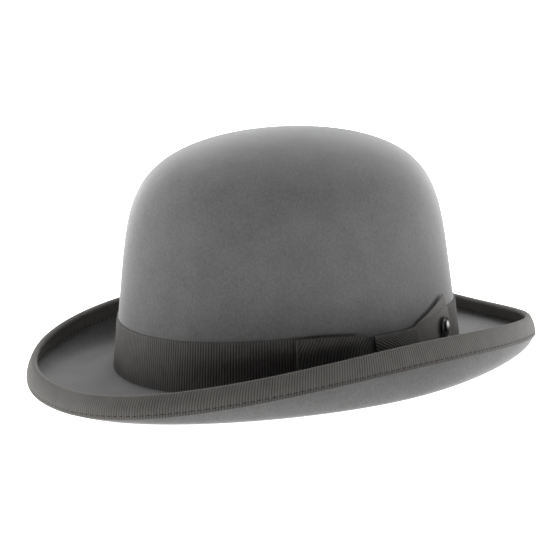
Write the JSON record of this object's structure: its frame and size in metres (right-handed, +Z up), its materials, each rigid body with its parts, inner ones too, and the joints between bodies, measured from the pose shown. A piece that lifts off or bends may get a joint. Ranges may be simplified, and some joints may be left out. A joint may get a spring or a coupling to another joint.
{
  "type": "bowler hat",
  "caption": "Hard felt bowler hat: domed crown, curled bound brim, ribbon band with side bow, turning ornamental pin, leather sweatband and satin lining.",
  "frame": {"origin": "centre of the bounding box in plan, at the level the belly of the brim rests on", "axes": "+Z up through the crown; the front of the hat faces -Y and the back faces +Y; +X is the wearer's left, the side with the bow and the pin"},
  "size_m": [0.2262, 0.31, 0.1353],
  "materials": {
    "felt": "brushed fur felt, mid grey",
    "binding_ribbon": "grosgrain ribbon, warm grey",
    "band_ribbon": "grosgrain ribbon, dark grey",
    "dark_thread": "sewing thread",
    "pale_thread": "sewing thread",
    "dark_metal": "blackened nickel",
    "keeper_metal": "plain",
    "leather": "smooth, semi matt",
    "reed": "plain",
    "tape": "woven tape",
    "ticket": "plain",
    "satin": "satin weave",
    "clear_sheet": "clear film"
  },
  "bodies": {
    "hat": {"felt_body": "felt", "brim_binding": "binding_ribbon", "binding_needle_thread": "dark_thread", "binding_bobbin_thread": "dark_thread", "hat_band": "band_ribbon", "bow_tail": "band_ribbon", "bow_loop": "band_ribbon", "bow_knot": "band_ribbon", "pin_keeper": "keeper_metal", "sweatband": "leather", "sweatband_reed": "reed", "reed_tape": "tape", "sweatband_thread": "pale_thread", "sweatband_bow_loops": "tape", "sweatband_bow_knot": "tape", "size_ticket": "ticket", "lining_side": "satin", "lining_tip": "satin", "lining_piping": "satin", "lining_window": "clear_sheet"},
    "hat_pin": {"pin_plate": "dark_metal", "pin_dome": "dark_metal", "pin_post": "dark_metal"}
  },
  "joints": [
    {"name": "pin_turn", "type": "hinge", "parent": "hat", "child": "hat_pin", "pos_m": [0.07875, 0.04885, 0.02639], "axis": [0.9032, 0.4161, 0.1056], "continuous": true}
  ]
}
